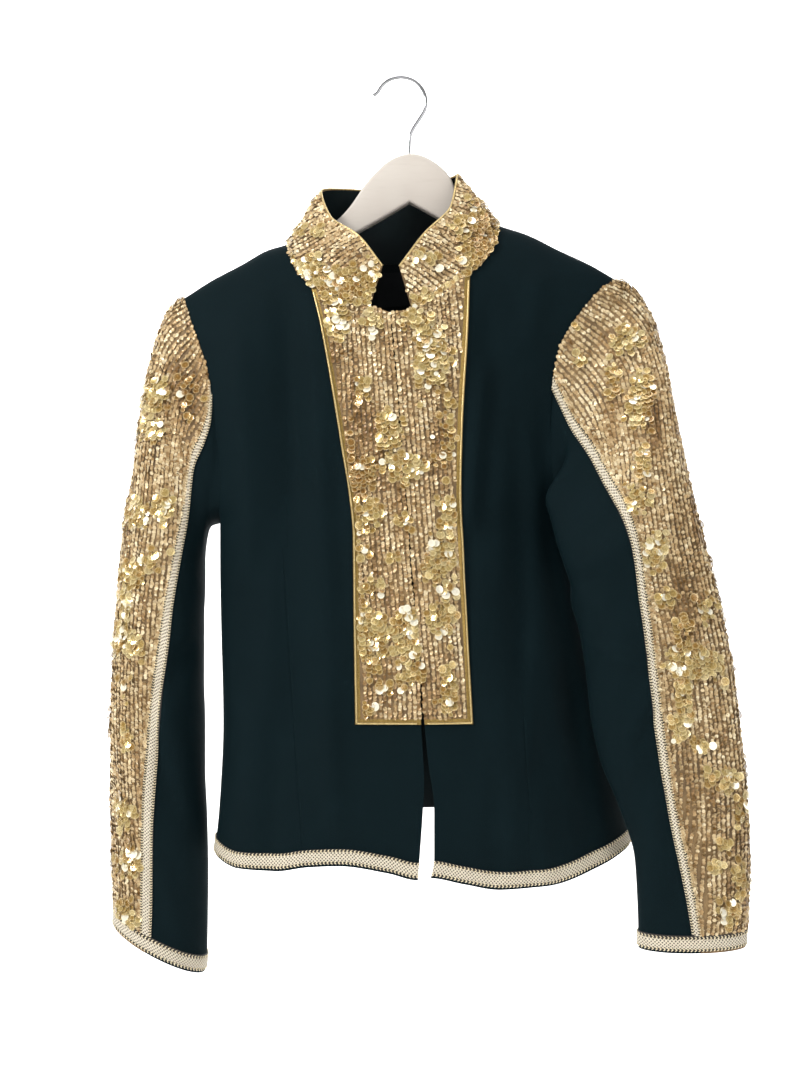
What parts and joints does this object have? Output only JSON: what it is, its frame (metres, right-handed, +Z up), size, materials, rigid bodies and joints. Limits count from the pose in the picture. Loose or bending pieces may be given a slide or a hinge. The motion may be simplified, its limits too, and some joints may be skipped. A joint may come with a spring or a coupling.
{
  "type": "sequinned stand-collar blazer on a wooden hanger",
  "caption": "Short dark blazer with a gold sequin collar, front panels and sleeves, edged in cream and gold braid, hanging empty from a curved wooden hanger with a wire hook.",
  "frame": {"origin": "inner top of the hook, where a rail carries the hanger", "axes": "+X to the viewer's right as seen from the front, -Y out of the jacket's front, +Z up"},
  "size_m": [0.5942, 0.1281, 0.8514],
  "materials": {
    "navy_cloth": "matte wool crepe",
    "gold_sequins": "beige and clear gold sequins in rows on cloth",
    "gold_cord": "bright metallic thread cord",
    "cream_braid": "knitted cream braid with gold chain edges",
    "plain_label": "plain woven label",
    "white_wood": "cream white paint",
    "chrome_wire": "bright plated wire"
  },
  "bodies": {
    "root": {"front_left": "navy_cloth", "front_right": "navy_cloth", "back": "navy_cloth", "collar": "gold_sequins", "collar_piping": "gold_cord", "plastron_left": "gold_sequins", "plastron_right": "gold_sequins", "plastron_edging_left": "gold_cord", "plastron_edging_right": "gold_cord", "upper_sleeve_left": "gold_sequins", "upper_sleeve_right": "gold_sequins", "under_sleeve_left": "navy_cloth", "under_sleeve_right": "navy_cloth", "front_braid_left": "cream_braid", "front_braid_right": "cream_braid", "back_braid_left": "cream_braid", "back_braid_right": "cream_braid", "cuff_braid_left": "cream_braid", "cuff_braid_right": "cream_braid", "hem_braid_left": "cream_braid", "hem_braid_right": "cream_braid", "hem_braid_back": "cream_braid", "neck_label": "plain_label", "hanger_wood": "white_wood", "hanger_hook": "chrome_wire"}
  },
  "joints": []
}
